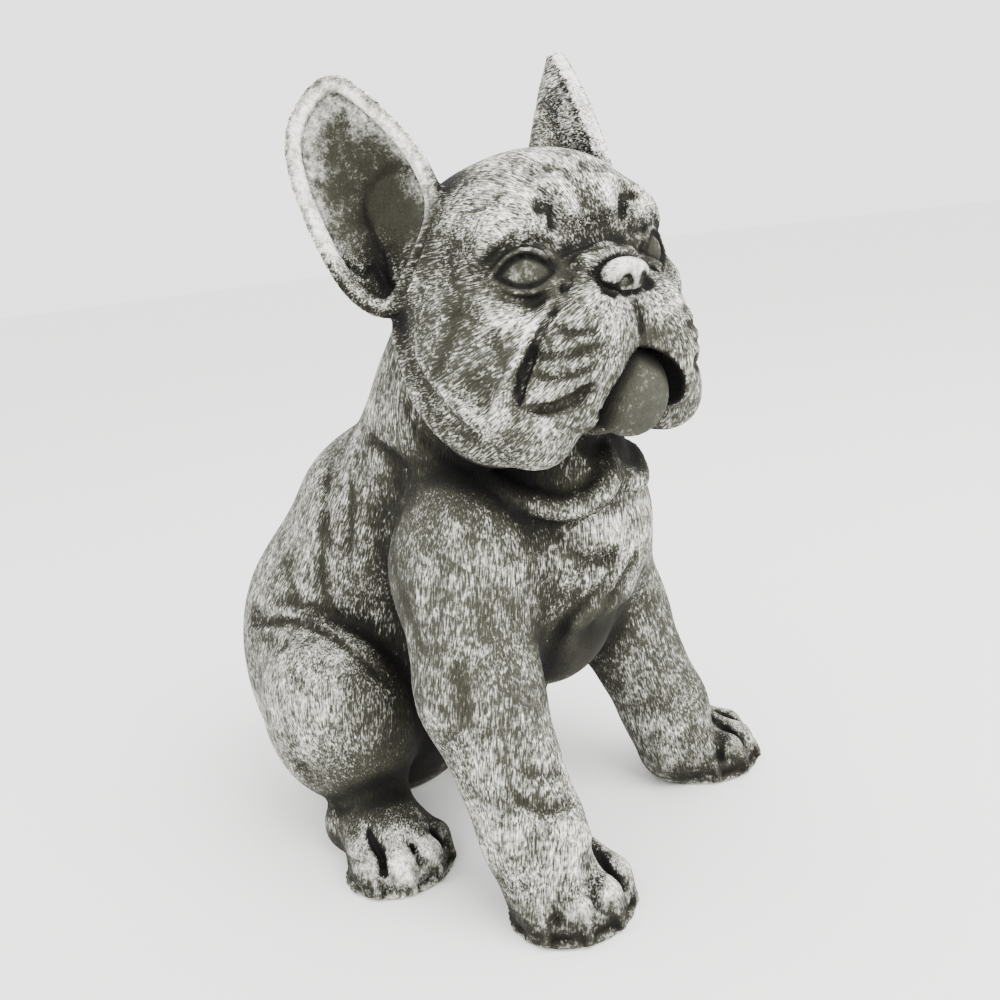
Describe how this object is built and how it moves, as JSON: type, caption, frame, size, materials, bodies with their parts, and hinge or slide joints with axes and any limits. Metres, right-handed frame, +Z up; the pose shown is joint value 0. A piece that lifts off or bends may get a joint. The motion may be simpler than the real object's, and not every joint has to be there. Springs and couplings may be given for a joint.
{
  "type": "bulldog garden statue",
  "caption": "Seated French bulldog puppy with upright ears and head turned to its right, a weathered cast-stone garden statue with carved fur, resting on its paws and rump.",
  "frame": {"origin": "on the ground, under the middle of the statue's bounding box", "axes": "+Z up; the body looks along -Y with the head turned towards -X, so the dog's right side is -X"},
  "size_m": [0.2286, 0.2976, 0.393],
  "materials": {
    "cast_stone": "matt weathered cast stone, dark grey-green with pale dry-brushed fur ridges"
  },
  "bodies": {
    "root": {"bulldog_statue": "cast_stone"}
  },
  "joints": []
}
